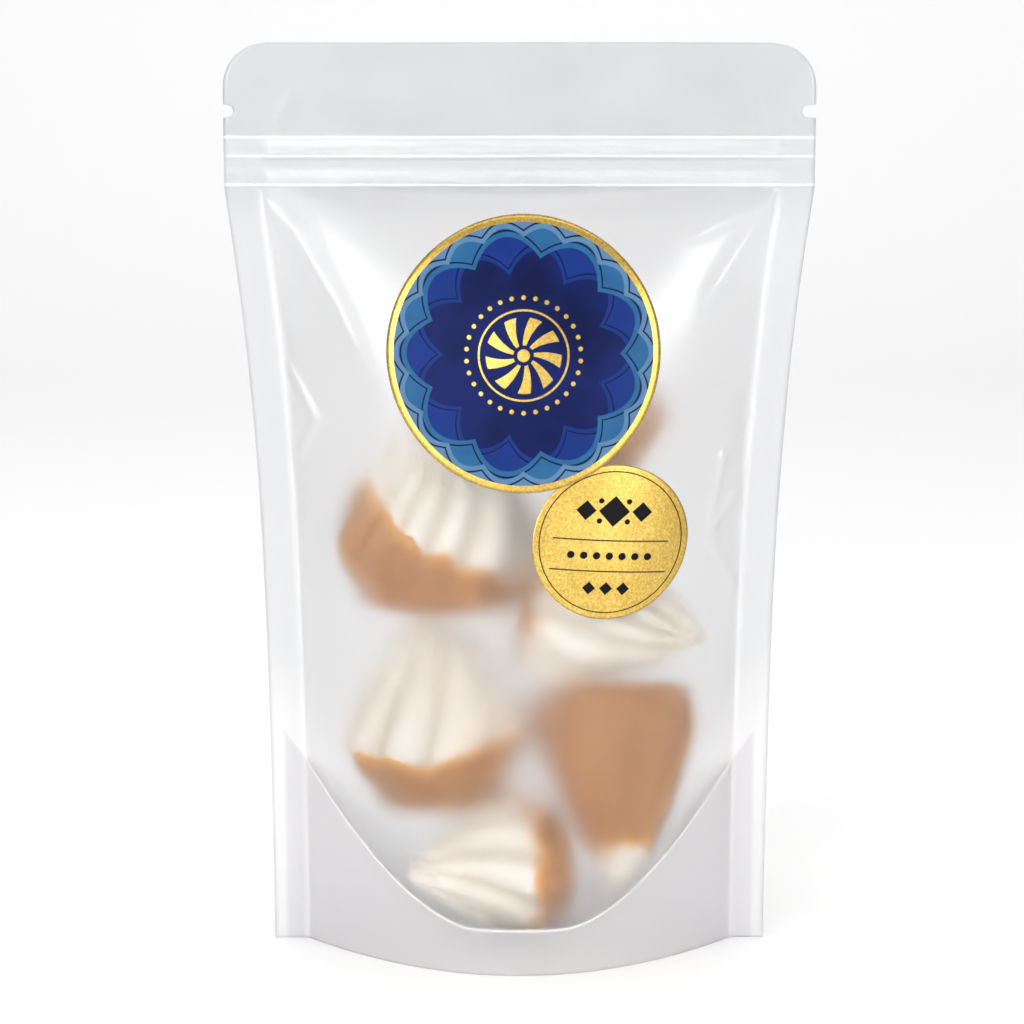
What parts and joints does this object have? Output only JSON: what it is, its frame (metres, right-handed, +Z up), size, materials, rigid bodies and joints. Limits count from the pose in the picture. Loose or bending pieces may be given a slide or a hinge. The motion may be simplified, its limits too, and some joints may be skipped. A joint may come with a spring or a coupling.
{
  "type": "stand-up pouch of dipped meringue cookies",
  "caption": "Frosted stand-up food pouch with a zip top, tear notches, side seals and a bottom gusset, filled with dipped meringue swirls, with round stickers on its front.",
  "frame": {"origin": "on the surface that the pouch stands on, under the middle of its bounding box", "axes": "+Z up towards the zip and header, +X to the right across the front, -Y out of the front film with the stickers"},
  "size_m": [0.16, 0.0692, 0.2515],
  "materials": {
    "frosted_film": "frosted satin, see-through",
    "label_print": "satin print with a gold rim",
    "gold_foil": "fine-grained satin foil"
  },
  "bodies": {
    "root": {"pouch": "frosted_film", "label_large": "label_print", "label_small": "gold_foil"}
  },
  "joints": []
}
